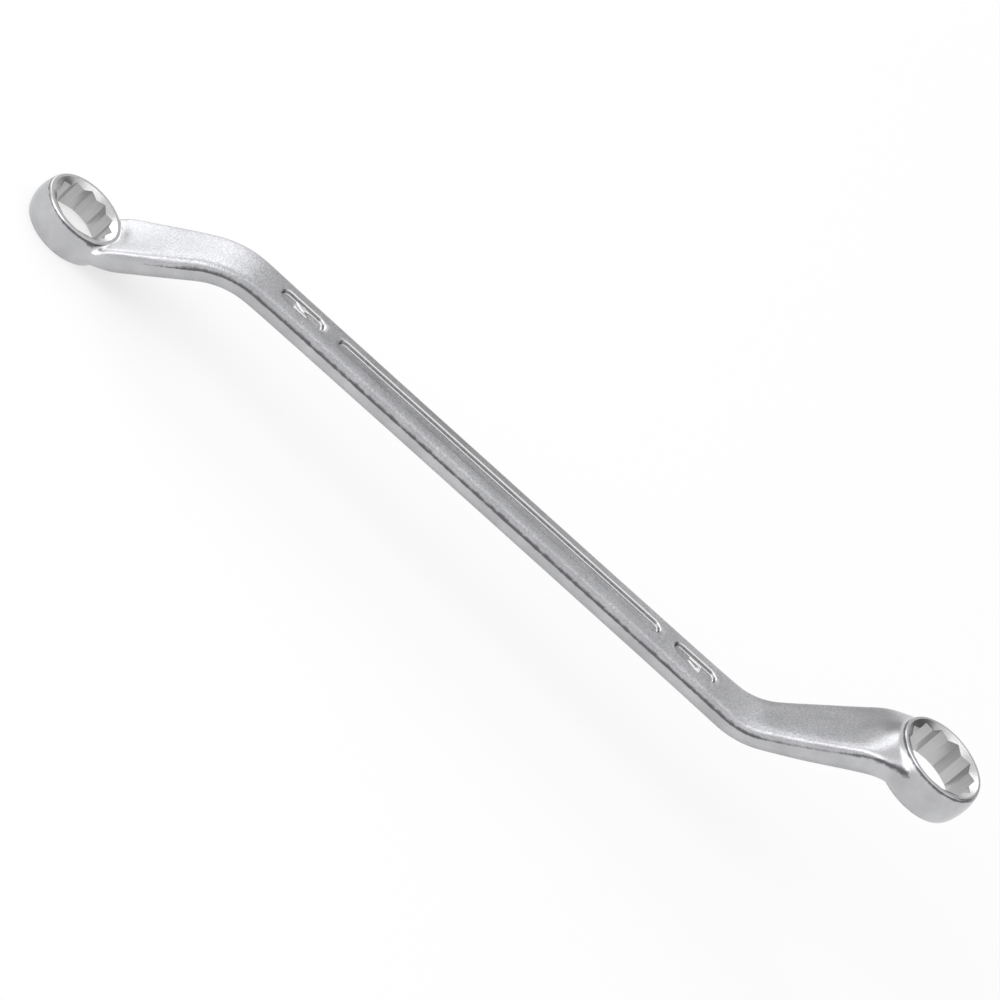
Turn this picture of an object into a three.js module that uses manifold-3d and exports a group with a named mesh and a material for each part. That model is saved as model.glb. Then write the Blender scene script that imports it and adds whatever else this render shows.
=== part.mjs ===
// Double-ended offset ring wrench, 14 and 17 mm, a single forging modelled in five touching regions.
// Millimetres, +Z up. X runs along the wrench, from the low 14 mm ring to the high 17 mm ring.
import * as THREE from "three";
import { mergeVertices } from "three/addons/utils/BufferGeometryUtils.js";
import Module from "manifold-3d";

// Rings: the two sockets set every other size
const SOCKET_CLEARANCE = 0.12;
const RING_14 = { across: 14, outer: 21.5, height: 8.2, turn: 6 };
const RING_17 = { across: 17, outer: 24.4, height: 10, turn: 14 };
const RING_SPACING = 224.2;
const RING_RISE = 47.5;
const LAND_WIDTH = 0.7;
const RING_MARGIN = 1;
const RIM_ROUND = 1;
const COUNTERSINK_SLOPE = 30;
const POINTS = 12;

// Handle: each bend is measured from the middle of its own ring
const BEND_14 = { reach: 31.9, offset: 20.4, slope: 39.5, radius: 20 };
const BEND_17 = { reach: 35.6, offset: 24.1, slope: 41.4, radius: 17 };
const SHANK_WIDTH = 12.3;
const SHANK_THICKNESS = 5.9;
const EDGE_ROUND = 1.85;
const NECK_14 = { width: 19.3, thickness: 6 };
const NECK_17 = { width: 23, thickness: 6.8 };

// Recesses in the two faces of the shank, placed from its middle
const RECESS_DEPTH = 0.5;
const RECESS_WIDTH = 4.6;
const PANEL_LENGTH = 98.4;
const MARK_LENGTH = 12.8;
const MARK_OFFSET = 60;

// Finish and mesh fineness
const STEEL = { color: 0xc9c9cd, roughness: 0.36, metalness: 1 };
const ROUND_STEPS = 48;
const CORNER_STEPS = 4;
const BAR_STEPS = 84;
const PAST = 5;

const wasm = await Module();
wasm.setup();

const radians = THREE.MathUtils.degToRad;

// Places that follow from the sizes above
const length = RING_SPACING + (RING_14.outer + RING_17.outer) / 2;
const middle14 = new THREE.Vector2((RING_14.outer - length) / 2, RING_14.height / 2);
const middle17 = new THREE.Vector2((length - RING_17.outer) / 2, RING_14.height / 2 + RING_RISE);
const bend14 = middle14.clone().add(new THREE.Vector2(BEND_14.reach, BEND_14.offset));
const bend17 = middle17.clone().sub(new THREE.Vector2(BEND_17.reach, BEND_17.offset));
const shankMiddle = bend14.clone().lerp(bend17, 0.5);
const shankTilt = Math.atan2(bend17.y - bend14.y, bend17.x - bend14.x);

function solidOf(geometry) {
  const bare = geometry.index ? geometry.toNonIndexed() : geometry.clone();
  bare.deleteAttribute("normal");
  bare.deleteAttribute("uv");
  const merged = mergeVertices(bare, 1e-4);
  const mesh = new wasm.Mesh({
    numProp: 3,
    vertProperties: new Float32Array(merged.attributes.position.array),
    triVerts: new Uint32Array(merged.index.array),
  });
  return new wasm.Manifold(mesh);
}

function geometryOf(solid) {
  const mesh = solid.getMesh();
  const geometry = new THREE.BufferGeometry();
  geometry.setAttribute("position", new THREE.BufferAttribute(new Float32Array(mesh.vertProperties), 3));
  geometry.setIndex(new THREE.BufferAttribute(new Uint32Array(mesh.triVerts), 1));
  geometry.computeVertexNormals();
  return geometry;
}

function boxBetween(low, high) {
  const size = high.clone().sub(low);
  const geometry = new THREE.BoxGeometry(size.x, size.y, size.z);
  geometry.translate(...low.clone().add(high).multiplyScalar(0.5).toArray());
  return solidOf(geometry);
}

// Turned shape about a ring's axis, from points of radius and height over the ring's middle
function turned(profile, middle) {
  const geometry = new THREE.LatheGeometry(profile, ROUND_STEPS);
  geometry.rotateX(Math.PI / 2);
  geometry.translate(middle.x, 0, middle.y);
  return solidOf(geometry);
}

// A 12-point socket is two hexagons across the same flats, turned 30 degrees apart
function socketOutline(ring) {
  const halfFlats = (ring.across + SOCKET_CLEARANCE) / 2;
  const tip = halfFlats / Math.cos(Math.PI / 6);
  const inner = halfFlats / Math.cos(Math.PI / POINTS);
  const corners = [];
  for (let i = 0; i < 2 * POINTS; i += 1) {
    const angle = radians(ring.turn) + (i * Math.PI) / POINTS;
    const radius = i % 2 === 0 ? tip : inner;
    corners.push(new THREE.Vector2(radius * Math.cos(angle), radius * Math.sin(angle)));
  }
  return { shape: new THREE.Shape(corners), inner };
}

function ringBlank(ring, middle) {
  const radius = ring.outer / 2;
  const half = ring.height / 2;
  const profile = [new THREE.Vector2(0, -half)];
  for (const side of [-1, 1]) {
    for (let i = 0; i <= CORNER_STEPS; i += 1) {
      const step = side < 0 ? i : CORNER_STEPS - i;
      const angle = (step / CORNER_STEPS) * (Math.PI / 2);
      const out = radius - RIM_ROUND * (1 - Math.sin(angle));
      const up = side * (half - RIM_ROUND * (1 - Math.cos(angle)));
      profile.push(new THREE.Vector2(out, up));
    }
  }
  profile.push(new THREE.Vector2(0, half));
  return turned(profile, middle);
}

// The socket with a shallow cone at both mouths
function ringBore(ring, middle) {
  const half = ring.height / 2;
  const { shape, inner } = socketOutline(ring);
  const depth = ring.height + 2 * PAST;
  const prism = new THREE.ExtrudeGeometry(shape, { depth, bevelEnabled: false });
  prism.translate(middle.x, 0, middle.y - depth / 2);
  const mouth = ring.outer / 2 - RIM_ROUND - LAND_WIDTH;
  const sink = (mouth - inner) * Math.tan(radians(COUNTERSINK_SLOPE));
  const profile = [
    new THREE.Vector2(0, half - sink),
    new THREE.Vector2(inner, half - sink),
    new THREE.Vector2(mouth, half),
    new THREE.Vector2(mouth, half + PAST),
    new THREE.Vector2(0, half + PAST),
  ];
  const lower = profile.map((point) => new THREE.Vector2(point.x, -point.y)).reverse();
  return solidOf(prism).add(turned(profile, middle)).add(turned(lower, middle));
}

// Centreline of the handle in the XZ plane: straight runs joined by an arc at each bend
function handlePath() {
  const rise14 = BEND_14.reach * Math.tan(radians(BEND_14.slope));
  const rise17 = BEND_17.reach * Math.tan(radians(BEND_17.slope));
  const start = new THREE.Vector2(middle14.x, bend14.y - rise14);
  const end = new THREE.Vector2(middle17.x, bend17.y + rise17);
  const path = new THREE.CurvePath();
  let from = start;
  for (const [corner, onward, radius] of [[bend14, bend17, BEND_14.radius], [bend17, end, BEND_17.radius]]) {
    const back = from.clone().sub(corner).normalize();
    const ahead = onward.clone().sub(corner).normalize();
    const half = Math.acos(back.dot(ahead)) / 2;
    const tangent = radius / Math.tan(half);
    const enter = corner.clone().addScaledVector(back, tangent);
    const leave = corner.clone().addScaledVector(ahead, tangent);
    const inward = back.clone().add(ahead).normalize();
    const centre = corner.clone().addScaledVector(inward, radius / Math.sin(half));
    const first = enter.clone().sub(centre).angle();
    const last = leave.clone().sub(centre).angle();
    const clockwise = back.cross(ahead) > 0;
    path.add(new THREE.LineCurve(from, enter));
    path.add(new THREE.EllipseCurve(centre.x, centre.y, radius, radius, first, last, clockwise));
    from = leave;
  }
  path.add(new THREE.LineCurve(from, end));
  return path;
}

// Rounded rectangle of the shank, widened and thickened towards the rings by moving its corners apart
function barSection() {
  const x = SHANK_WIDTH / 2 - EDGE_ROUND;
  const y = SHANK_THICKNESS / 2 - EDGE_ROUND;
  const shape = new THREE.Shape();
  shape.absarc(x, y, EDGE_ROUND, 0, Math.PI / 2);
  shape.absarc(-x, y, EDGE_ROUND, Math.PI / 2, Math.PI);
  shape.absarc(-x, -y, EDGE_ROUND, Math.PI, 1.5 * Math.PI);
  shape.absarc(x, -y, EDGE_ROUND, 1.5 * Math.PI, 2 * Math.PI);
  shape.closePath();
  return shape;
}

// How far a place along X lies into a neck: 0 at its bend, 1 at the ring's edge
function neckShare(x, bend, middle, ring) {
  const edge = middle.x + Math.sign(bend.x - middle.x) * 0.3 * ring.outer;
  return THREE.MathUtils.clamp((x - bend.x) / (edge - bend.x), 0, 1);
}

function bentBar() {
  const options = { depth: 1, steps: BAR_STEPS, curveSegments: CORNER_STEPS, bevelEnabled: false };
  const geometry = new THREE.ExtrudeGeometry(barSection(), options);
  const path = handlePath();
  const position = geometry.attributes.position;
  for (let i = 0; i < position.count; i += 1) {
    const along = THREE.MathUtils.clamp(position.getZ(i), 0, 1);
    const place = path.getPointAt(along);
    const heading = path.getTangentAt(along);
    const share14 = neckShare(place.x, bend14, middle14, RING_14);
    const share17 = neckShare(place.x, bend17, middle17, RING_17);
    const wider14 = share14 * (NECK_14.width - SHANK_WIDTH);
    const wider17 = share17 * (NECK_17.width - SHANK_WIDTH);
    const thicker14 = share14 * (NECK_14.thickness - SHANK_THICKNESS);
    const thicker17 = share17 * (NECK_17.thickness - SHANK_THICKNESS);
    const across = position.getX(i) + (Math.sign(position.getX(i)) * (wider14 + wider17)) / 2;
    const up = position.getY(i) + (Math.sign(position.getY(i)) * (thicker14 + thicker17)) / 2;
    position.setXYZ(i, place.x - heading.y * up, across, place.y + heading.x * up);
  }
  return solidOf(geometry);
}

// A shallow round-ended recess on one face of the shank, side 1 for the upper face and -1 for the lower
function recess(offset, recessLength, side) {
  const radius = RECESS_WIDTH / 2;
  const straight = recessLength / 2 - radius;
  const shape = new THREE.Shape();
  shape.absarc(straight, 0, radius, -Math.PI / 2, Math.PI / 2);
  shape.absarc(-straight, 0, radius, Math.PI / 2, 1.5 * Math.PI);
  shape.closePath();
  const options = { depth: RECESS_DEPTH + PAST, curveSegments: 2 * CORNER_STEPS, bevelEnabled: false };
  const geometry = new THREE.ExtrudeGeometry(shape, options);
  const floor = SHANK_THICKNESS / 2 - RECESS_DEPTH;
  geometry.translate(offset, 0, side > 0 ? floor : -floor - RECESS_DEPTH - PAST);
  geometry.rotateY(-shankTilt);
  geometry.translate(shankMiddle.x, 0, shankMiddle.y);
  return solidOf(geometry);
}

// Room above the low ring and below the high ring, where its face is cut into the rising neck
function faceClearance(ring, middle, side) {
  const half = side * (ring.height / 2);
  const far = half + side * RING_RISE;
  const radius = ring.outer / 2 - RIM_ROUND / 2;
  const low = Math.min(half, far);
  const high = Math.max(half, far);
  const profile = [[0, low], [radius, low], [radius, high], [0, high]];
  return turned(profile.map(([out, up]) => new THREE.Vector2(out, up)), middle);
}

function forging() {
  const wide = length + PAST;
  const top = middle17.y + RING_17.height / 2;
  const slab = boxBetween(new THREE.Vector3(-wide, -wide, 0), new THREE.Vector3(wide, wide, top));
  let solid = bentBar().intersect(slab);
  solid = solid.subtract(faceClearance(RING_14, middle14, 1));
  solid = solid.subtract(faceClearance(RING_17, middle17, -1));
  for (const [ring, middle] of [[RING_14, middle14], [RING_17, middle17]]) {
    solid = solid.add(ringBlank(ring, middle));
    solid = solid.subtract(ringBore(ring, middle));
  }
  for (const side of [1, -1]) {
    solid = solid.subtract(recess(0, PANEL_LENGTH, side));
    solid = solid.subtract(recess(-MARK_OFFSET, MARK_LENGTH, side));
    solid = solid.subtract(recess(MARK_OFFSET, MARK_LENGTH, side));
  }
  return solid;
}

// The forging is told apart at four upright planes, where the regions meet face to face
const cuts = [
  -length,
  middle14.x + RING_14.outer / 2 + RING_MARGIN,
  bend14.x + BEND_14.radius / 2,
  bend17.x - BEND_17.radius / 2,
  middle17.x - RING_17.outer / 2 - RING_MARGIN,
  length,
];
const names = ["ring_14", "neck_14", "shank", "neck_17", "ring_17"];

const whole = forging();
const wrench = new THREE.Group();
for (const [i, name] of names.entries()) {
  const low = new THREE.Vector3(cuts[i], -length, -length);
  const high = new THREE.Vector3(cuts[i + 1], length, length);
  const region = whole.intersect(boxBetween(low, high));
  const mesh = new THREE.Mesh(geometryOf(region), new THREE.MeshStandardMaterial(STEEL));
  mesh.name = name;
  wrench.add(mesh);
}

export default wrench;
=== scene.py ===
import math

import bmesh
import bpy
from mathutils import Matrix, Vector


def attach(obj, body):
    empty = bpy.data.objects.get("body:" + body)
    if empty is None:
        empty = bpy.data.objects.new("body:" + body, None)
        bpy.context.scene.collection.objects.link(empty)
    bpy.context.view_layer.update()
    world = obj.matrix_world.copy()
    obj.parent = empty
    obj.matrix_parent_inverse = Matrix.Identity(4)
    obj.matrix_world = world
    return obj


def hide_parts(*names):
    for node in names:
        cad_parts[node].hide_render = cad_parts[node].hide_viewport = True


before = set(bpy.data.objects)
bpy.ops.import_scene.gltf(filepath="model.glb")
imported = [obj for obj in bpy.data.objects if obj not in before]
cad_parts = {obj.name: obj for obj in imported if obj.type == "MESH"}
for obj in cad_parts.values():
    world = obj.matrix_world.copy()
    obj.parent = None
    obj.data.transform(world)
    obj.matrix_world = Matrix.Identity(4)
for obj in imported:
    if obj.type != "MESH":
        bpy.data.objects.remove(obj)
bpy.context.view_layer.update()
scene = bpy.context.scene

# Sizes in millimetres, in the CAD frame
MM = 0.001

# Rings: middle, way the neck leaves, radii, half height and turn of the bore. Then the angle of the neck's
# sides on each row and, column by column from the middle of the neck, the lift of the shoulder and the
# heights of the wall's two rows as shares of the half height
RING_14 = {
    "x": -112.825,
    "z": 4.1,
    "way": 1,
    "outer": 10.75,
    "half": 4.1,
    "mouth": 9.05,
    "rim": 9.8,
    "tip": 8.152,
    "notch": 7.309,
    "twist": 6.0,
    "tip_column": 0,
    "edges": {
        "land_top": 48.0,
        "rim_top": 50.0,
        "wall_top": 53.0,
        "wall_mid": 54.0,
        "wall_low": 55.0,
        "wall_foot": 55.0,
    },
    "lifts": (1.0, 1.0, 0.97, 0.55, -0.5, 0.0),
    "mids": (0.42, 0.42, 0.4, 0.25, -0.03, 0.1, 0.2),
    "lows": (-0.37, -0.38, -0.4, -0.44, -0.45, -0.4, -0.3),
}
RING_17 = {
    "x": 111.375,
    "z": 51.45,
    "way": -1,
    "outer": 12.2,
    "half": 4.85,
    "mouth": 10.65,
    "rim": 11.2,
    "tip": 9.884,
    "notch": 8.862,
    "twist": 1.0,
    "tip_column": 1,
    "edges": {
        "land_top": 48.0,
        "rim_top": 50.0,
        "wall_top": 66.0,
        "wall_mid": 65.0,
        "wall_low": 64.0,
        "wall_foot": 62.0,
    },
    "lifts": (1.0, 1.0, 0.95, 0.75, 0.05, 0.0),
    "mids": (0.25, 0.25, 0.22, 0.17, 0.1, 0.15, 0.2),
    "lows": (-0.6, -0.6, -0.58, -0.54, -0.46, -0.36, -0.25),
}

# Necks: slope in degrees, height at the ring's axis, reach to the bend, half width and half thickness at
# the ring, radius of the bend, and the section where the bend starts
NECK_14 = {
    "slope": 39.5,
    "start": -5.9,
    "reach": 31.9,
    "half_width": 9.65,
    "half_thick": 3.0,
    "bend": 20.0,
    "bend_lead": 5.4,
    "bend_flare": 0.45,
    "bend_swell": 0.05,
    "bend_edge": 2.35,
}
NECK_17 = {
    "slope": 41.4,
    "start": -7.44,
    "reach": 35.6,
    "half_width": 11.5,
    "half_thick": 3.4,
    "bend": 17.0,
    "bend_lead": 4.7,
    "bend_flare": 0.4,
    "bend_swell": 0.1,
    "bend_edge": 2.1,
}
NECK_ROOT = 0.6

# Shank: half sizes, flare at the bends and slight trim between them; then places along it with their flare
SHANK_HALF_WIDTH = 6.15
SHANK_HALF_THICK = 2.95
SHANK_FLARE = 0.25
SHANK_TRIM_WIDE = 0.06
SHANK_TRIM_THICK = 0.04
SHANK_ROWS = [(0.06, 0.15), (0.2, 0.06), (0.35, 0.0), (0.5, 0.0), (0.65, 0.0), (0.8, 0.06), (0.94, 0.15)]

# Section of the bar: height of the rounded edge, inset of the flat and of the corner, fall of a dished face
EDGE_ROUND = 2.1
FLAT_INSET = 2.3
CORNER_INSET = 0.35
DISH_SHARES = (0.9, 0.55)

# Outside of a ring: rounding of its rim and shoulder
RIM_STEP = 0.26
RIM_DROP = 0.3
RIM_LIFT = 0.36
SHOULDER_INSET = 0.3
SHOULDER_DROP = 1.5
SHOULDER_LIFT = 2.2
SHOULDER_STEP = 0.75
WALL_SWELL = 0.04
FOOT_INSET = 0.25
COUNTERSINK_SLOPE = math.radians(30)

# Cage: columns round a ring, columns and angle of half a neck, evenness of the mouth's columns, growth that
# makes up for smoothing, rounds of smoothing, and the angle from which a finished edge is sharp
COLUMNS = 24
NECK_COLUMNS = 4
NECK_ANGLE = 48.0
MOUTH_EVEN = 0.6
ROUND_UP = 1.0115
SMOOTHING = 3
FORGING_SHARP = 32

# Places along the necks: distance from the ring, lag of the edges, growth upwards, downwards
# and sideways, height of the rounded edge, dish of the upper face
NECK_14_ROWS = [
    (16.4, 4.4, 0.2, 0.4, 0.3, 2.5, 1.0),
    (20.2, 3.0, 0.05, 0.2, 0.3, 2.5, 0.65),
    (24.8, 1.2, 0.05, 0.15, 0.45, 2.45, 0.3),
    (30.2, 0.0, 0.05, 0.05, 0.5, 2.4, 0.0),
]
NECK_17_ROWS = [
    (18.8, 3.8, 0.6, 0.2, 0.35, 1.5, 0.0),
    (23.0, 2.6, 0.25, 0.1, 0.3, 1.7, 0.0),
    (28.4, 1.2, 0.15, 0.2, 0.4, 1.9, 0.0),
    (35.0, 0.0, 0.0, 0.2, 0.5, 2.1, 0.0),
]

# Creases of the cage, where 1 is sharp; those of the bar go from a ring inwards
LAND_CREASE = 0.45
NECK_CREASE = 0.65
WALL_CREASE = 0.3
BAR_CREASES = (0.5, 0.7, 0.85, 1.0)

# Strength of the dark line of painted shade along the bar, from the smaller ring and from the larger one,
# and on the rings
LEFT_LINE = (0.2, 0.25, 0.4, 0.65, 0.85, 0.95, 1.0)
RIGHT_LINE = (0.96, 0.8, 0.7, 0.75, 0.85, 0.9, 1.0)
CORNER_LINE_14 = 0.5
CORNER_LINE_17 = 1.0
RIM_LINE = 0.8
STRONG_RIM_LINE = 1.0
LOWER_RIM_LINE = 0.6

# Strength of the blasting along the bar, from a ring inwards, and on the ring itself
BLAST_ALONG = (0.65, 0.85, 1.0)
BLAST_ON_RING = 0.35

# Rows of a ring's section, from the upper bore edge round the outside to the lower one
ROWS = [
    "bore_top",
    "mouth_top",
    "land_top",
    "rim_top",
    "wall_top",
    "wall_mid",
    "wall_low",
    "wall_foot",
    "rim_foot",
    "land_foot",
    "mouth_foot",
    "bore_foot",
]
ROW = {name: index for index, name in enumerate(ROWS)}
BORE_ROWS = (ROW["bore_top"], ROW["bore_foot"])
MOUTH_ROWS = (ROW["mouth_top"], ROW["mouth_foot"])
LAND_ROWS = (ROW["land_top"], ROW["land_foot"])
RIM_ROWS = (ROW["rim_top"], ROW["rim_foot"])
NECK_EDGE_ROWS = (ROW["wall_top"], ROW["wall_low"])


def outer_angle(column, edge=NECK_ANGLE):
    """Angle of a column on the outside of a ring, with the neck's columns drawn together."""
    count = abs(column)
    if count <= NECK_COLUMNS:
        angle = edge * count / NECK_COLUMNS
    else:
        rest = COLUMNS / 2 - NECK_COLUMNS
        angle = edge + (180.0 - edge) * (count - NECK_COLUMNS) / rest
    return math.copysign(angle, column)


def share_at(count, shares):
    """Value for a place that is counted from zero either way; the last one holds for the rest."""
    return shares[min(abs(count), len(shares) - 1)]


def ring_point(ring, row, column):
    """Radius, angle and height of one cage point of a ring whose neck leaves along +x and rises."""
    half = ring["half"]
    outer = ring["outer"]
    rim = ring["rim"]
    name = ROWS[row]
    upper = 1 if row < len(ROWS) // 2 else -1
    even_angle = 360.0 / COLUMNS * column
    lift = share_at(column, ring["lifts"])
    if name in ("bore_top", "bore_foot"):
        is_tip = (column - ring["tip_column"]) % 2 == 0
        radius = ring["tip"] if is_tip else ring["notch"]
        height = half - (ring["mouth"] - radius) * math.tan(COUNTERSINK_SLOPE)
        angle = even_angle + ring["twist"] * ring["way"]
        return radius, angle, upper * height
    if name in ("mouth_top", "mouth_foot"):
        angle = MOUTH_EVEN * even_angle + (1 - MOUTH_EVEN) * outer_angle(column)
        return ring["mouth"] * ROUND_UP, angle, upper * half
    angle = outer_angle(column, ring["edges"].get(name, NECK_ANGLE))
    if name in ("land_top", "land_foot"):
        return rim * ROUND_UP, angle, upper * half
    if name == "rim_top":
        height = half - RIM_DROP + max(lift, 0.0) * RIM_LIFT
        return (rim + RIM_STEP) * ROUND_UP, angle, height
    if name == "rim_foot":
        return (rim + RIM_STEP) * ROUND_UP, angle, RIM_DROP - half
    if name == "wall_top":
        radius = outer - SHOULDER_INSET + lift * (rim + SHOULDER_STEP - outer + SHOULDER_INSET)
        height = half - SHOULDER_DROP + lift * SHOULDER_LIFT
        return radius * ROUND_UP, angle, height
    if name == "wall_mid":
        return (outer + WALL_SWELL) * ROUND_UP, angle, share_at(column, ring["mids"]) * half
    if name == "wall_low":
        return (outer + WALL_SWELL) * ROUND_UP, angle, share_at(column, ring["lows"]) * half
    return (outer - FOOT_INSET) * ROUND_UP, angle, SHOULDER_DROP - half


def placed(ring, x, y, z):
    """Ring coordinates to the CAD frame; the larger ring is turned end for end."""
    return Vector((ring["x"] + ring["way"] * x, y, ring["z"] + ring["way"] * z))


def spin_ring(cage, ring, row_layer, column_layer):
    """Spins one ring's section into a closed ring and shapes its twelve-point bore."""
    section = []
    for row in range(len(ROWS)):
        radius, _, height = ring_point(ring, row, COLUMNS // 2)
        point = cage.verts.new((radius, 0, height))
        point[row_layer] = row
        section.append(point)
    outline = [cage.edges.new((section[i - 1], section[i])) for i in range(len(section))]
    known = set(cage.verts) - set(section)
    bmesh.ops.spin(
        cage,
        geom=section + outline,
        cent=(0, 0, 0),
        axis=(0, 0, 1),
        dvec=(0, 0, 0),
        angle=math.tau,
        steps=COLUMNS,
        use_merge=True,
        use_duplicate=False,
    )
    points = [v for v in cage.verts if v not in known]
    for point in points:
        column = round(math.degrees(math.atan2(point.co.y, point.co.x)) * COLUMNS / 360.0)
        if column == -COLUMNS // 2:
            column = COLUMNS // 2
        point[column_layer] = column
        radius, angle, height = ring_point(ring, point[row_layer], column)
        turn = math.radians(angle)
        point.co = placed(ring, radius * math.cos(turn), radius * math.sin(turn), height)
    return points


def neck_faces(points, row_layer, column_layer):
    """The part of a ring's outer wall that the neck grows from."""
    rows = (ROW["wall_top"], ROW["wall_mid"], ROW["wall_low"])
    inside = {v for v in points if v[row_layer] in rows and abs(v[column_layer]) <= NECK_COLUMNS}
    faces = {f for v in inside for f in v.link_faces}
    return [f for f in faces if all(v in inside for v in f.verts)]


def section_point(column, level, half_width, half_thick, edge, dish):
    """Point of the bar's section: flat faces, rounded edges and a ground flat on each side."""
    count = abs(column)
    flat = half_width - FLAT_INSET
    across = [0.0, 0.5 * flat, flat, half_width - CORNER_INSET, half_width]
    drops = [dish, DISH_SHARES[0] * dish, DISH_SHARES[1] * dish, CORNER_INSET, edge]
    if level == 0:
        return math.copysign(half_width * count / NECK_COLUMNS, column), 0.0
    return math.copysign(across[count], column), level * (half_thick - drops[count])


def neck_width(neck, x):
    """Half width of a neck at a distance from its ring's axis."""
    start = NECK_ROOT * (RING_14 if neck is NECK_14 else RING_17)["outer"]
    share = max(0.0, min(1.0, (neck["reach"] - x) / (neck["reach"] - start)))
    return SHANK_HALF_WIDTH + share * (neck["half_width"] - SHANK_HALF_WIDTH)


def neck_stations(ring, neck, rows):
    """Places along one neck, from its ring outwards; it grows thicker and wider towards the ring."""
    slope = math.radians(neck["slope"])
    stations = []
    for distance, bow, rise, drop, flare, edge, dish in rows:
        x = distance * math.cos(slope)
        z = neck["start"] + distance * math.sin(slope)
        spot = placed(ring, x, 0, z)
        share = max(0.0, min(1.0, x / neck["reach"]))
        thick = neck["half_thick"] + share * (SHANK_HALF_THICK - neck["half_thick"])
        width = neck_width(neck, x) + flare
        stations.append((spot, slope, width, thick + rise, thick + drop, -ring["way"] * bow, edge, dish))
    return stations


def vertex_of(ring, neck):
    """Where the neck's straight line meets the shank's."""
    rise = neck["start"] + neck["reach"] * math.tan(math.radians(neck["slope"]))
    return placed(ring, neck["reach"], 0, rise)


def neck_end(neck):
    """Half width, half thickness and edge height of a neck where its bend starts."""
    width = neck_width(neck, neck["reach"] - neck["bend_lead"]) + neck["bend_flare"]
    return width, SHANK_HALF_THICK + neck["bend_swell"], neck["bend_edge"]


def bend_stations(corner, before, after, radius, first_section, last_section, steps=5):
    """Places round one bend, from the direction before it to the direction after it."""
    turn = after - before
    length = radius * math.tan(abs(turn) / 2)
    start = corner - length * Vector((math.cos(before), 0, math.sin(before)))
    side = math.copysign(1, turn)
    centre = start + side * radius * Vector((-math.sin(before), 0, math.cos(before)))
    stations = []
    for step in range(steps + 1):
        share = step / steps
        angle = before + turn * share
        spot = centre - side * radius * Vector((-math.sin(angle), 0, math.cos(angle)))
        width, thick, edge = (a + share * (b - a) for a, b in zip(first_section, last_section))
        stations.append((spot, angle, width, thick, thick, 0.0, edge, 0.0))
    return stations


def shank_line():
    """Both ends of the shank's middle line, where the necks' lines meet it, and its tilt."""
    corner_14 = vertex_of(RING_14, NECK_14)
    corner_17 = vertex_of(RING_17, NECK_17)
    along = (corner_17 - corner_14).normalized()
    return corner_14, corner_17, math.atan2(along.z, along.x)


def handle_stations():
    """All the places of the bar's section, from the smaller ring to the larger one."""
    corner_14, corner_17, tilt = shank_line()
    slope_14 = math.radians(NECK_14["slope"])
    slope_17 = math.radians(NECK_17["slope"])
    near_14 = neck_stations(RING_14, NECK_14, NECK_14_ROWS)
    near_17 = neck_stations(RING_17, NECK_17, NECK_17_ROWS)
    shank_end = (SHANK_HALF_WIDTH + SHANK_FLARE, SHANK_HALF_THICK, EDGE_ROUND)
    bend_14 = bend_stations(corner_14, slope_14, tilt, NECK_14["bend"], neck_end(NECK_14), shank_end)
    bend_17 = bend_stations(corner_17, tilt, slope_17, NECK_17["bend"], shank_end, neck_end(NECK_17))
    first = bend_14[-1][0]
    last = bend_17[0][0]
    thick = SHANK_HALF_THICK - SHANK_TRIM_THICK
    shank = []
    for share, extra in SHANK_ROWS:
        width = SHANK_HALF_WIDTH - SHANK_TRIM_WIDE + extra
        shank.append((first.lerp(last, share), tilt, width, thick, thick, 0.0, EDGE_ROUND, 0.0))
    return near_14 + bend_14 + shank + bend_17 + near_17[::-1]


def grow(shape, faces):
    """Extrudes a patch of faces; gives the new points and the new patch."""
    edges = {e for f in faces for e in f.edges}
    points = {v for f in faces for v in f.verts}
    grown = bmesh.ops.extrude_face_region(shape, geom=list(faces) + list(edges) + list(points))["geom"]
    new_points = [g for g in grown if isinstance(g, bmesh.types.BMVert)]
    new_faces = [g for g in grown if isinstance(g, bmesh.types.BMFace)]
    return new_points, new_faces


def draw_section(points, station, column_layer, level_layer):
    """Moves a freshly extruded section to its place on the bar."""
    spot, angle, width, above, below, bow, edge, dish = station
    forward = Vector((math.cos(angle), 0, math.sin(angle)))
    normal = Vector((-math.sin(angle), 0, math.cos(angle)))
    lag = 1.0 - math.cos(math.radians(NECK_ANGLE))
    for point in points:
        column = point[column_layer]
        level = point[level_layer]
        if level > 0:
            y, up = section_point(column, level, width, above, edge, dish)
        else:
            y, up = section_point(column, level, width, below, EDGE_ROUND, 0.0)
        back = bow * (1.0 - math.cos(math.radians(outer_angle(column)))) / lag
        point.co = spot + back * forward + up * normal + Vector((0, y, 0))


def patch_border(faces):
    """The edges round a patch of faces."""
    edges = {e for f in faces for e in f.edges}
    return [e for e in edges if sum(f in faces for f in e.link_faces) == 1]


def forging_cage():
    """Both rings and the bar between them as one cage, in millimetres."""
    cage = bmesh.new()
    row_layer = cage.verts.layers.int.new("row")
    column_layer = cage.verts.layers.int.new("column")
    level_layer = cage.verts.layers.int.new("level")
    station_layer = cage.verts.layers.int.new("station")
    levels = {ROW["wall_top"]: 1, ROW["wall_mid"]: 0, ROW["wall_low"]: -1}
    small = spin_ring(cage, RING_14, row_layer, column_layer)
    large = spin_ring(cage, RING_17, row_layer, column_layer)
    front = neck_faces(small, row_layer, column_layer)
    for face in front:
        for point in face.verts:
            point[level_layer] = levels[point[row_layer]]
    for number, station in enumerate(handle_stations()):
        points, front = grow(cage, front)
        for point in points:
            point[row_layer] = -1
            point[station_layer] = number + 1
        draw_section(points, station, column_layer, level_layer)
    mouth = neck_faces(large, row_layer, column_layer)
    seam = patch_border(front) + patch_border(mouth)
    kept = {v for e in seam for v in e.verts}
    spare = list({v for f in front + mouth for v in f.verts} - kept)
    bmesh.ops.delete(cage, geom=spare, context="VERTS")
    bmesh.ops.bridge_loops(cage, edges=seam)
    return cage


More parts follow.
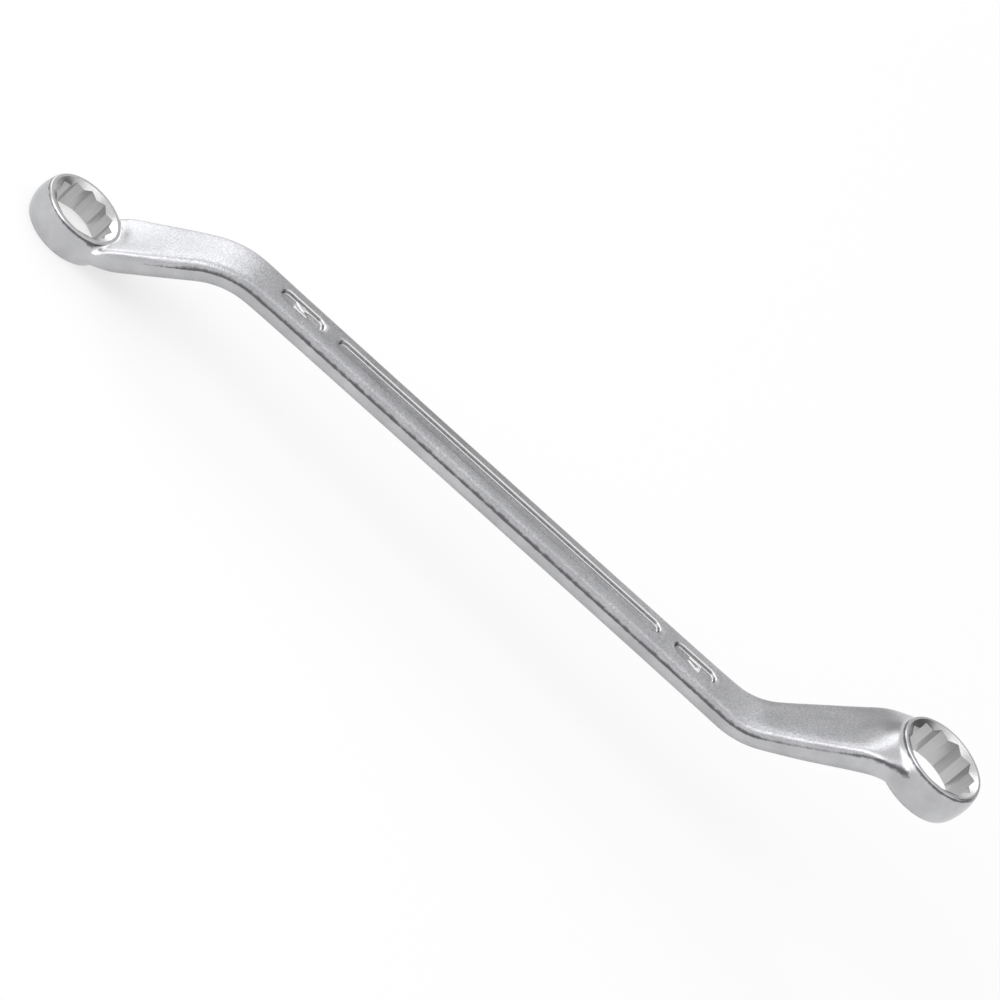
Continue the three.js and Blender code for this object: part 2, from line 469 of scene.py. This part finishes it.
def crease_edges(cage):
    """Creases the machined edges of the rings and the ground edges of the bar."""
    crease = cage.edges.layers.float.new("crease_edge")
    row_layer = cage.verts.layers.int["row"]
    column_layer = cage.verts.layers.int["column"]
    level_layer = cage.verts.layers.int["level"]
    station_layer = cage.verts.layers.int["station"]
    last = max(v[station_layer] for v in cage.verts)
    for edge in cage.edges:
        rows = [v[row_layer] for v in edge.verts]
        columns = [v[column_layer] for v in edge.verts]
        stations = [v[station_layer] for v in edge.verts]
        levels = [v[level_layer] for v in edge.verts]
        at_side = abs(columns[0]) == NECK_COLUMNS and columns[0] == columns[1]
        beside_neck = sorted(abs(c) for c in columns) == [NECK_COLUMNS, NECK_COLUMNS + 1]
        on_bore = all(row in BORE_ROWS for row in rows)
        along_mouth = rows[0] == rows[1] and rows[0] in MOUTH_ROWS
        if on_bore or along_mouth:
            edge[crease] = 1.0
            edge.smooth = False
        elif rows[0] == rows[1] and rows[0] in LAND_ROWS:
            edge[crease] = LAND_CREASE
        elif min(stations) > 0 and at_side and levels[0] == levels[1] and levels[0] != 0:
            from_ring = min(min(stations) - 1, last - max(stations))
            edge[crease] = share_at(from_ring, BAR_CREASES)
            edge.smooth = from_ring < len(BAR_CREASES) - 1
        elif min(stations) == 0 and max(stations) > 0 and at_side and ROW["wall_mid"] not in rows:
            edge[crease] = NECK_CREASE
        elif rows == [ROW["wall_low"]] * 2 and beside_neck:
            edge[crease] = WALL_CREASE


def rim_line(row, column, is_larger):
    """Strength of the painted shade line on a ring's rim; the larger ring is turned end for end."""
    upper_row = ROW["rim_foot"] if is_larger else ROW["rim_top"]
    by_neck = NECK_COLUMNS <= abs(column) <= 2 * NECK_COLUMNS
    if row != upper_row:
        return LOWER_RIM_LINE
    return STRONG_RIM_LINE if is_larger or by_neck else RIM_LINE


def mark_surfaces(cage):
    """Marks the edges that carry a dark line of painted shade and the faces that are blasted."""
    for mark in ("painted_edge_shade", "blasted"):
        cage.verts.layers.float.new(mark)
    line = cage.verts.layers.float["painted_edge_shade"]
    blast = cage.verts.layers.float["blasted"]
    row_layer = cage.verts.layers.int["row"]
    column_layer = cage.verts.layers.int["column"]
    level_layer = cage.verts.layers.int["level"]
    station_layer = cage.verts.layers.int["station"]
    last = max(v[station_layer] for v in cage.verts)
    for point in cage.verts:
        row = point[row_layer]
        column = point[column_layer]
        station = point[station_layer]
        at_side = abs(column) == NECK_COLUMNS
        is_larger = point.co.x > 0
        # Painted shade: a dark line along the bar's upper edges, at one corner of each neck and on the rims
        if station > 0 and at_side and point[level_layer] == 1:
            point[line] = min(share_at(station, LEFT_LINE), share_at(last - station, RIGHT_LINE))
        if station == 0 and at_side and row == ROW["wall_low"] and is_larger:
            point[line] = CORNER_LINE_17
        if station == 0 and at_side and row == ROW["wall_top"] and not is_larger:
            point[line] = CORNER_LINE_14
        if row in RIM_ROWS:
            point[line] = rim_line(row, column, is_larger)
        if station > 0 and not at_side:
            point[blast] = share_at(min(station - 1, last - station), BLAST_ALONG)
        if station == 0 and abs(column) < NECK_COLUMNS and row in NECK_EDGE_ROWS:
            point[blast] = BLAST_ON_RING


def paint_faces(cage):
    """Gives the bores and the countersinks their own finishes."""
    row_layer = cage.verts.layers.int["row"]
    for face in cage.faces:
        face.smooth = True
        rows = {v[row_layer] for v in face.verts}
        if rows <= set(BORE_ROWS):
            face.material_index = 1
        elif rows <= set(BORE_ROWS + MOUTH_ROWS):
            face.material_index = 2
        elif rows & set(MOUTH_ROWS):
            face.material_index = 3


# Recesses of both faces: sizes, inset of the floor, then the wall's steps outwards and upwards from the
# floor's edge, of which two are darkened with painted shade
RECESS_WIDTH = 4.6
RECESS_DEPTH = 0.95
PANEL_LENGTH = 98.4
MARK_LENGTH = 12.8
MARK_OFFSET = 60.0
FLOOR_INSET = 0.62
FLOOR_RADIUS = RECESS_WIDTH / 2 - FLOOR_INSET
WALL_STEPS = [
    (0.12, 0.03),
    (0.22, 0.12),
    (0.4, 0.5),
    (0.47, 0.68),
    (0.58, 0.83),
    (0.75, 0.93),
    (0.98, 0.985),
    (0.98, 1.9),
]
PAINTED_SHADE_STEPS = (2, 3)
LIP_MARGIN = 0.1
FLOOR_MARGIN = 0.05
DEEPEST = 1.2 * RECESS_DEPTH
SLOT_POINTS = 32


def shank_matrix(side):
    """Frame of the shank's upper or lower face, in millimetres: x along the shank, z out of the face."""
    corner_14, corner_17, tilt = shank_line()
    middle = (corner_14 + corner_17) / 2
    face = Matrix.Translation(middle) @ Matrix.Rotation(-tilt, 4, "Y")
    if side < 0:
        face = face @ Matrix.Rotation(math.pi, 4, "X")
    return face @ Matrix.Translation((0, 0, SHANK_HALF_THICK))


def slot_cutter(cutter, length, offset, side):
    """A stadium with sloping walls and a soft lip, which sinks one recess."""
    made = bmesh.ops.create_circle(cutter, cap_ends=True, segments=SLOT_POINTS, radius=FLOOR_RADIUS)
    points = made["verts"]
    half_step = Matrix.Rotation(math.pi / SLOT_POINTS, 3, "Z")
    bmesh.ops.rotate(cutter, verts=points, cent=(0, 0, 0), matrix=half_step)
    straight = length / 2 - RECESS_WIDTH / 2
    ends = {1: [v for v in points if v.co.x > 0], -1: [v for v in points if v.co.x < 0]}
    for way, end in ends.items():
        bmesh.ops.translate(cutter, verts=end, vec=(way * straight, 0, -RECESS_DEPTH))
    everything = list(points)
    blast = cutter.verts.layers.float["blasted"]
    for point in points:
        point[blast] = 1.0
    front = list({f for v in points for f in v.link_faces})
    for face in front:
        face.material_index = 2
    for number, (spread, rise) in enumerate(WALL_STEPS):
        known = set(cutter.faces)
        ring, front = grow(cutter, front)
        for face in set(cutter.faces) - known:
            # The two middle steps take the darkened chrome: painted shade in the recess
            face.material_index = 1 if number in PAINTED_SHADE_STEPS else 0
        for point in ring:
            point[blast] = 0.0
            heart = Vector((math.copysign(straight, point.co.x), 0, 0))
            away = Vector((point.co.x, point.co.y, 0)) - heart
            flat = heart + away.normalized() * (FLOOR_RADIUS + spread)
            point.co = Vector((flat.x, flat.y, rise - RECESS_DEPTH))
        everything += ring
    place = shank_matrix(side) @ Matrix.Translation((offset, 0, 0))
    bmesh.ops.transform(cutter, matrix=place, verts=everything)


def recess_cutter():
    """All the recesses; bright lips and feet, walls darkened with painted shade, and blasted floors."""
    cutter = bmesh.new()
    cutter.verts.layers.float.new("blasted")
    for side in (1, -1):
        slot_cutter(cutter, PANEL_LENGTH, 0, side)
        slot_cutter(cutter, MARK_LENGTH, MARK_OFFSET, side)
        slot_cutter(cutter, MARK_LENGTH, -MARK_OFFSET, side)
    for face in cutter.faces:
        face.smooth = True
    return cutter


def to_object(shape, name):
    """Turns a cage in millimetres into an object in metres at the origin."""
    bmesh.ops.scale(shape, vec=(MM, MM, MM), verts=shape.verts)
    bmesh.ops.recalc_face_normals(shape, faces=shape.faces)
    mesh = bpy.data.meshes.new(name)
    shape.to_mesh(mesh)
    shape.free()
    piece = bpy.data.objects.new(name, mesh)
    scene.collection.objects.link(piece)
    return piece


def keep_result(piece):
    """Keeps the finished mesh of a piece and drops its modifiers."""
    bpy.context.view_layer.update()
    seen = piece.evaluated_get(bpy.context.evaluated_depsgraph_get())
    mesh = bpy.data.meshes.new_from_object(seen)
    piece.modifiers.clear()
    piece.data = mesh


def finish_recesses(piece):
    """Marks the floors of the recesses as blasted and clears the other marks inside them."""
    blast = piece.data.attributes["blasted"].data
    line = piece.data.attributes["painted_edge_shade"].data
    for side in (1, -1):
        into = shank_matrix(side).inverted()
        for point in piece.data.vertices:
            spot = into @ (point.co / MM)
            inside = abs(spot.y) < RECESS_WIDTH / 2 and abs(spot.x) < MARK_OFFSET + MARK_LENGTH / 2
            if inside and -DEEPEST < spot.z < -LIP_MARGIN:
                blast[point.index].value = 1.0 if spot.z < FLOOR_MARGIN - RECESS_DEPTH else 0.0
                line[point.index].value = 0.0


def sharpen(piece, degrees):
    """Marks edges that turn more than an angle, so that they stay crisp."""
    shape = bmesh.new()
    shape.from_mesh(piece.data)
    limit = math.radians(degrees)
    for edge in shape.edges:
        if len(edge.link_faces) == 2 and edge.calc_face_angle(0.0) > limit:
            edge.smooth = False
    for face in shape.faces:
        face.smooth = True
    shape.to_mesh(piece.data)
    shape.free()


# Finishes
CHROME_DARK = (0.455, 0.456, 0.47, 1)
CHROME_LIGHT = (0.55, 0.551, 0.566, 1)
BLASTED_PIT = (0.31, 0.312, 0.33, 1)
# Dark colour of the painted shade line along the edges and rims
PAINTED_EDGE_SHADE = (0.13, 0.13, 0.14, 1)


def node(tree, kind, place, **inputs):
    """A shader node with some of its inputs set."""
    made = tree.nodes.new(kind)
    made.location = place
    for key, value in inputs.items():
        made.inputs[key.replace("_", " ")].default_value = value
    return made


def ramp(tree, place, stops):
    """A grey ramp through pairs of position and value."""
    made = tree.nodes.new("ShaderNodeValToRGB")
    made.location = place
    bar = made.color_ramp
    bar.elements[0].position, bar.elements[1].position = stops[0][0], stops[-1][0]
    for position, _ in stops[1:-1]:
        bar.elements.new(position)
    for element, (_, value) in zip(bar.elements, stops):
        element.color = (value, value, value, 1)
    return made


def attribute(tree, place, name):
    """A mark that the mesh carries."""
    made = tree.nodes.new("ShaderNodeAttribute")
    made.location = place
    made.attribute_name = name
    return made


def maths(tree, place, operation, first, second):
    """One operation on two values, each a number or an output."""
    made = tree.nodes.new("ShaderNodeMath")
    made.location = place
    made.operation = operation
    for socket, value in zip(made.inputs, (first, second)):
        if isinstance(value, (int, float)):
            socket.default_value = value
        else:
            tree.links.new(value, socket)
    return made.outputs[0]


def blend_colours(tree, place, share, first, second):
    """A mix of two colours, each a colour or an output."""
    made = tree.nodes.new("ShaderNodeMix")
    made.data_type = "RGBA"
    made.location = place
    tree.links.new(share, made.inputs[0])
    for socket, value in zip((made.inputs[6], made.inputs[7]), (first, second)):
        if isinstance(value, tuple):
            socket.default_value = value
        else:
            tree.links.new(value, socket)
    return made.outputs[2]


def satin_chrome():
    """Satin chrome: blasted faces, smooth ground sides and a dark broken line of painted shade along the
    ground edges.
    """
    finish = bpy.data.materials.new("satin_chrome")
    finish.use_nodes = True
    tree = finish.node_tree
    shader = tree.nodes["Principled BSDF"]
    shader.inputs["Metallic"].default_value = 1.0
    where = node(tree, "ShaderNodeTexCoord", (-1700, 0))
    grain = node(tree, "ShaderNodeTexNoise", (-1400, 300), Scale=2500.0, Detail=3.0, Roughness=0.6)
    cloud = node(tree, "ShaderNodeTexNoise", (-1400, 0), Scale=110.0, Detail=4.0, Roughness=0.55)
    broken = node(tree, "ShaderNodeTexNoise", (-1400, -300), Scale=620.0, Detail=4.0, Roughness=0.7)
    for pattern in (grain, cloud, broken):
        tree.links.new(where.outputs["Object"], pattern.inputs["Vector"])
    blasted = attribute(tree, (-1400, 600), "blasted").outputs["Fac"]
    # Painted shade: the mark of the dark line along the edges and rims
    on_edge = attribute(tree, (-1400, -600), "painted_edge_shade").outputs["Fac"]
    speckle = ramp(tree, (-1100, 300), [(0.33, 0.0), (0.68, 1.0)])
    tree.links.new(grain.outputs["Fac"], speckle.inputs["Fac"])
    rough_share = maths(tree, (-800, 300), "MULTIPLY", speckle.outputs["Color"], blasted)
    mottle = ramp(tree, (-1100, 100), [(0.36, 0.0), (0.64, 1.0)])
    tree.links.new(cloud.outputs["Fac"], mottle.inputs["Fac"])
    plain = blend_colours(tree, (-800, 500), mottle.outputs["Color"], CHROME_DARK, CHROME_LIGHT)
    plated = blend_colours(tree, (-550, 300), rough_share, plain, BLASTED_PIT)
    breaks = maths(tree, (-1250, -300), "MULTIPLY", broken.outputs["Fac"], 0.8)
    reach = maths(tree, (-1100, -600), "ADD", on_edge, breaks)
    line = ramp(tree, (-800, -600), [(0.66, 0.0), (0.88, 1.0)])
    tree.links.new(maths(tree, (-950, -600), "MULTIPLY", reach, 0.7), line.inputs["Fac"])
    shade = blend_colours(tree, (-300, 200), line.outputs["Color"], plated, PAINTED_EDGE_SHADE)
    tree.links.new(shade, shader.inputs["Base Color"])
    gloss = ramp(tree, (-1100, 0), [(0.3, 0.19), (0.7, 0.25)])
    tree.links.new(cloud.outputs["Fac"], gloss.inputs["Fac"])
    dulled = maths(tree, (-550, 0), "MULTIPLY", blasted, 0.12)
    tree.links.new(maths(tree, (-300, 0), "ADD", gloss.outputs["Color"], dulled), shader.inputs["Roughness"])
    wave = node(tree, "ShaderNodeTexNoise", (-1400, -900), Scale=190.0, Detail=2.0, Roughness=0.5)
    tree.links.new(where.outputs["Object"], wave.inputs["Vector"])
    slow = node(tree, "ShaderNodeBump", (-550, -450), Strength=0.16, Distance=0.0004)
    tree.links.new(wave.outputs["Fac"], slow.inputs["Height"])
    relief = node(tree, "ShaderNodeBump", (-300, -300), Strength=0.4, Distance=0.00008)
    tree.links.new(rough_share, relief.inputs["Height"])
    tree.links.new(slow.outputs["Normal"], relief.inputs["Normal"])
    tree.links.new(relief.outputs["Normal"], shader.inputs["Normal"])
    return finish


def broached_steel():
    """The twelve-point bore: fine lines along the broach's travel."""
    finish = bpy.data.materials.new("broached_steel")
    finish.use_nodes = True
    tree = finish.node_tree
    shader = tree.nodes["Principled BSDF"]
    shader.inputs["Metallic"].default_value = 1.0
    where = node(tree, "ShaderNodeTexCoord", (-1400, 0))
    turn = node(tree, "ShaderNodeMapping", (-1200, 0), Scale=(1.0, 1.0, 0.06))
    tree.links.new(where.outputs["Object"], turn.inputs["Vector"])
    lines = node(tree, "ShaderNodeTexNoise", (-1000, 0), Scale=3000.0, Detail=2.0)
    tree.links.new(turn.outputs["Vector"], lines.inputs["Vector"])
    tone = ramp(tree, (-700, 100), [(0.3, 0.5), (0.7, 0.56)])
    tree.links.new(lines.outputs["Fac"], tone.inputs["Fac"])
    tree.links.new(tone.outputs["Color"], shader.inputs["Base Color"])
    shader.inputs["Roughness"].default_value = 0.34
    relief = node(tree, "ShaderNodeBump", (-500, -300), Strength=0.04, Distance=0.00003)
    tree.links.new(lines.outputs["Fac"], relief.inputs["Height"])
    tree.links.new(relief.outputs["Normal"], shader.inputs["Normal"])
    return finish


def turned_chrome(name, dark, light):
    """Chrome with a fine grain: countersinks, lands, walls of the recesses, whose dark copy is painted
    shade, and raised numbers, whose light copy is a painted highlight.
    """
    finish = bpy.data.materials.new(name)
    finish.use_nodes = True
    tree = finish.node_tree
    shader = tree.nodes["Principled BSDF"]
    shader.inputs["Metallic"].default_value = 1.0
    where = node(tree, "ShaderNodeTexCoord", (-1400, 0))
    grain = node(tree, "ShaderNodeTexNoise", (-1000, 0), Scale=1800.0, Detail=3.0)
    tree.links.new(where.outputs["Object"], grain.inputs["Vector"])
    tone = ramp(tree, (-700, 100), [(0.3, dark), (0.7, light)])
    tree.links.new(grain.outputs["Fac"], tone.inputs["Fac"])
    tree.links.new(tone.outputs["Color"], shader.inputs["Base Color"])
    shader.inputs["Roughness"].default_value = 0.25
    relief = node(tree, "ShaderNodeBump", (-500, -300), Strength=0.05, Distance=0.00004)
    tree.links.new(grain.outputs["Fac"], relief.inputs["Height"])
    tree.links.new(relief.outputs["Normal"], shader.inputs["Normal"])
    return finish


# Raised numbers: height of the type, its stretch, swell and half thickness, its rounding, and the angle in
# degrees from which an edge is sharp
NUMBER_SIZE = 3.25
NUMBER_STRETCH = 1.4
NUMBER_SWELL = 0.05
NUMBER_HALF = 0.1
NUMBER_ROUND = 0.2
NUMBER_SHARP = 40


def size_number(name, digits, offset, upwards, finish):
    """Raised size number on the floor of a small recess, read across the shank."""
    words = bpy.data.curves.new(name, "FONT")
    words.body = digits
    words.size = NUMBER_SIZE
    words.space_character = 1.02
    words.align_x = "CENTER"
    words.align_y = "CENTER"
    words.offset = NUMBER_SWELL
    words.extrude = NUMBER_HALF
    words.bevel_depth = NUMBER_ROUND
    words.bevel_resolution = 3
    draft = bpy.data.objects.new(name, words)
    scene.collection.objects.link(draft)
    bpy.context.view_layer.update()
    seen = draft.evaluated_get(bpy.context.evaluated_depsgraph_get())
    mesh = bpy.data.meshes.new_from_object(seen)
    bpy.data.objects.remove(draft)
    shape = bmesh.new()
    shape.from_mesh(mesh)
    bmesh.ops.remove_doubles(shape, verts=shape.verts, dist=0.0005)
    bmesh.ops.scale(shape, vec=(1.0, NUMBER_STRETCH, 1.0), verts=shape.verts)
    place = shank_matrix(1) @ Matrix.Translation((offset, 0, NUMBER_ROUND - RECESS_DEPTH))
    place = place @ Matrix.Rotation(-upwards * math.pi / 2, 4, "Z")
    bmesh.ops.transform(shape, matrix=place, verts=shape.verts)
    piece = to_object(shape, name)
    piece.data.materials.append(finish)
    sharpen(piece, NUMBER_SHARP)
    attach(piece, "root")
    return piece


# The forging
cage = forging_cage()
crease_edges(cage)
mark_surfaces(cage)
paint_faces(cage)
forging = to_object(cage, "wrench_forging")
SATIN = satin_chrome()
TURNED = [turned_chrome("turned_countersink", 0.5, 0.6), turned_chrome("turned_land", 0.38, 0.46)]
for finish in [SATIN, broached_steel()] + TURNED:
    forging.data.materials.append(finish)
smoothing = forging.modifiers.new("smoothing", "SUBSURF")
smoothing.levels = SMOOTHING
smoothing.render_levels = SMOOTHING
keep_result(forging)
cutter = to_object(recess_cutter(), "recess_cutter")
PRESSED = turned_chrome("pressed_chrome", 0.6, 0.68)
# The very dark chrome of the recess walls is painted shade
for finish in (PRESSED, turned_chrome("painted_shade_recess_wall", 0.18, 0.28), SATIN):
    cutter.data.materials.append(finish)
sinking = forging.modifiers.new("recesses", "BOOLEAN")
sinking.operation = "DIFFERENCE"
sinking.solver = "EXACT"
sinking.material_mode = "TRANSFER"
sinking.object = cutter
keep_result(forging)
bpy.data.objects.remove(cutter)
finish_recesses(forging)
sharpen(forging, FORGING_SHARP)
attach(forging, "root")
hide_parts("ring_14", "neck_14", "shank", "neck_17", "ring_17")
# The raised numbers take a much lighter copy of the chrome: a painted highlight
PAINTED_HIGHLIGHT_CHROME = turned_chrome("raised_number_painted_highlight", 0.78, 0.86)
size_number("size_number_14", "14", -MARK_OFFSET, -1, PAINTED_HIGHLIGHT_CHROME)
size_number("size_number_17", "17", MARK_OFFSET, 1, PAINTED_HIGHLIGHT_CHROME)


# Studio: tone, glow and half size of the floor, level of the world's light
FLOOR_TONE = (0.84, 0.84, 0.84, 1)
FLOOR_GLOW = 0.66
FLOOR_HALF = 6.0
SKY_LEVEL = 0.85


def seen_rays(tree):
    """One for rays from the camera, a reflection or a clear surface."""
    rays = node(tree, "ShaderNodeLightPath", (-900, 300))
    seen = maths(tree, (-650, 300), "MAXIMUM", rays.outputs["Is Camera Ray"], rays.outputs["Is Glossy Ray"])
    return maths(tree, (-450, 300), "MAXIMUM", seen, rays.outputs["Is Transmission Ray"])


def floor_finish():
    """White paper that keeps a soft shadow."""
    finish = bpy.data.materials.new("studio_floor")
    finish.use_nodes = True
    tree = finish.node_tree
    shader = tree.nodes["Principled BSDF"]
    shader.inputs["Base Color"].default_value = FLOOR_TONE
    shader.inputs["Roughness"].default_value = 0.9
    shader.inputs["Specular IOR Level"].default_value = 0.0
    glow = node(tree, "ShaderNodeEmission", (-200, -300), Color=(1, 1, 1, 1), Strength=1.0)
    share = maths(tree, (-200, 300), "MULTIPLY", seen_rays(tree), FLOOR_GLOW)
    choice = node(tree, "ShaderNodeMixShader", (300, 0))
    tree.links.new(share, choice.inputs[0])
    tree.links.new(shader.outputs[0], choice.inputs[1])
    tree.links.new(glow.outputs[0], choice.inputs[2])
    tree.links.new(choice.outputs[0], tree.nodes["Material Output"].inputs["Surface"])
    return finish


floor_shape = bmesh.new()
bmesh.ops.create_grid(floor_shape, x_segments=1, y_segments=1, size=FLOOR_HALF)
floor_mesh = bpy.data.meshes.new("studio_floor")
floor_shape.to_mesh(floor_mesh)
floor_shape.free()
studio_floor = bpy.data.objects.new("studio_floor", floor_mesh)
studio_floor.data.materials.append(floor_finish())
scene.collection.objects.link(studio_floor)


def card_finish(name, strength, is_flag):
    """A card that fades out towards its rim: a softbox adds its glow, a flag hides what is behind it."""
    finish = bpy.data.materials.new(name)
    finish.use_nodes = True
    tree = finish.node_tree
    tree.nodes.remove(tree.nodes["Principled BSDF"])
    spread = node(tree, "ShaderNodeUVMap", (-900, 0))
    spread.uv_map = "card"
    centre = node(tree, "ShaderNodeMapping", (-700, 0), Location=(-1.0, -1.0, 0.0), Scale=(2.0, 2.0, 1.0))
    tree.links.new(spread.outputs["UV"], centre.inputs["Vector"])
    fade = tree.nodes.new("ShaderNodeTexGradient")
    fade.gradient_type = "SPHERICAL"
    fade.location = (-500, 0)
    tree.links.new(centre.outputs["Vector"], fade.inputs["Vector"])
    body = ramp(tree, (-300, 0), [(0.0, 0.0), (0.55, 1.0)])
    body.color_ramp.interpolation = "EASE"
    tree.links.new(fade.outputs["Fac"], body.inputs["Fac"])
    clear = node(tree, "ShaderNodeBsdfTransparent", (0, 200))
    glow = node(tree, "ShaderNodeEmission", (0, 0), Color=(1, 1, 1, 1))
    out = tree.nodes["Material Output"]
    if is_flag:
        glow.inputs["Strength"].default_value = strength
        both = node(tree, "ShaderNodeMixShader", (200, 0))
        tree.links.new(body.outputs["Color"], both.inputs[0])
        tree.links.new(clear.outputs[0], both.inputs[1])
        tree.links.new(glow.outputs[0], both.inputs[2])
    else:
        level = maths(tree, (-100, -100), "MULTIPLY", body.outputs["Color"], strength)
        tree.links.new(level, glow.inputs["Strength"])
        both = node(tree, "ShaderNodeAddShader", (200, 0))
        tree.links.new(clear.outputs[0], both.inputs[0])
        tree.links.new(glow.outputs[0], both.inputs[1])
    tree.links.new(both.outputs[0], out.inputs["Surface"])
    return finish


def card(name, place, aim, size, strength, is_flag=False):
    """A studio card with soft edges that the camera doesn't see."""
    shape = bmesh.new()
    shape.loops.layers.uv.new("card")
    bmesh.ops.create_grid(shape, x_segments=1, y_segments=1, size=0.5, calc_uvs=True)
    bmesh.ops.scale(shape, vec=(size[0], size[1], 1), verts=shape.verts)
    way = Vector(aim) - Vector(place)
    turn = Matrix.Translation(place) @ way.to_track_quat("-Z", "Y").to_matrix().to_4x4()
    bmesh.ops.transform(shape, matrix=turn, verts=shape.verts)
    mesh = bpy.data.meshes.new(name)
    shape.to_mesh(mesh)
    shape.free()
    made = bpy.data.objects.new(name, mesh)
    made.data.materials.append(card_finish(name, strength, is_flag))
    made.visible_camera = False
    made.visible_shadow = False
    made.visible_diffuse = not is_flag
    scene.collection.objects.link(made)
    return made


MIDDLE = (0, 0, 0.03)
LARGER_NECK = (0.095, 0, 0.04)
card("left_softbox", (-0.95, -0.55, 0.7), MIDDLE, (2.0, 1.4), 1.9)
card("rear_softbox", (-0.72, 1.0, 0.62), MIDDLE, (1.6, 1.7), 1.5)
card("top_softbox", (0.1, -0.05, 1.3), MIDDLE, (1.2, 0.9), 0.7)
card("right_flag", (0.86, 0.52, 0.5), MIDDLE, (1.7, 1.4), 0.12, is_flag=True)
card("neck_flag", (0.0, 0.165, 0.088), LARGER_NECK, (0.2, 0.15), 0.5, is_flag=True)

world = bpy.data.worlds.new("studio_light")
world.use_nodes = True
sky = world.node_tree
soft = sky.nodes["Background"]
soft.inputs["Color"].default_value = (1, 1, 1, 1)
soft.inputs["Strength"].default_value = SKY_LEVEL
white = node(sky, "ShaderNodeBackground", (-200, -200), Color=(1, 1, 1, 1), Strength=1.0)
choice = node(sky, "ShaderNodeMixShader", (100, 0))
sky.links.new(seen_rays(sky), choice.inputs[0])
sky.links.new(soft.outputs[0], choice.inputs[1])
sky.links.new(white.outputs[0], choice.inputs[2])
sky.links.new(choice.outputs[0], sky.nodes["World Output"].inputs["Surface"])
scene.world = world

# Camera at the photograph's viewing angle
AZIMUTH = math.radians(-10.685)
ELEVATION = math.radians(31.014)
ROLL = math.radians(48.512)
DISTANCE = 1.67678
TARGET = Vector((-0.000725, 0, 0.02785))
SENSOR = 36.0
FOCAL_SHARE = 7.447
SHIFT = (-0.0037, -0.0046)
back = Vector(
    (
        math.sin(AZIMUTH) * math.cos(ELEVATION),
        -math.cos(AZIMUTH) * math.cos(ELEVATION),
        math.sin(ELEVATION),
    )
)
right = Vector((math.cos(AZIMUTH), math.sin(AZIMUTH), 0))
up = back.cross(right)
image_right = math.cos(ROLL) * right + math.sin(ROLL) * up
image_up = -math.sin(ROLL) * right + math.cos(ROLL) * up
lens = bpy.data.cameras.new("photo_camera")
lens.sensor_width = SENSOR
lens.lens = SENSOR * FOCAL_SHARE
lens.shift_x, lens.shift_y = SHIFT
lens.clip_end = 50.0
camera = bpy.data.objects.new("photo_camera", lens)
spot = TARGET + DISTANCE * back
camera.matrix_world = Matrix(
    (
        (image_right.x, image_up.x, back.x, spot.x),
        (image_right.y, image_up.y, back.y, spot.y),
        (image_right.z, image_up.z, back.z, spot.z),
        (0, 0, 0, 1),
    )
)
scene.collection.objects.link(camera)
scene.camera = camera

scene.view_settings.view_transform = "Standard"
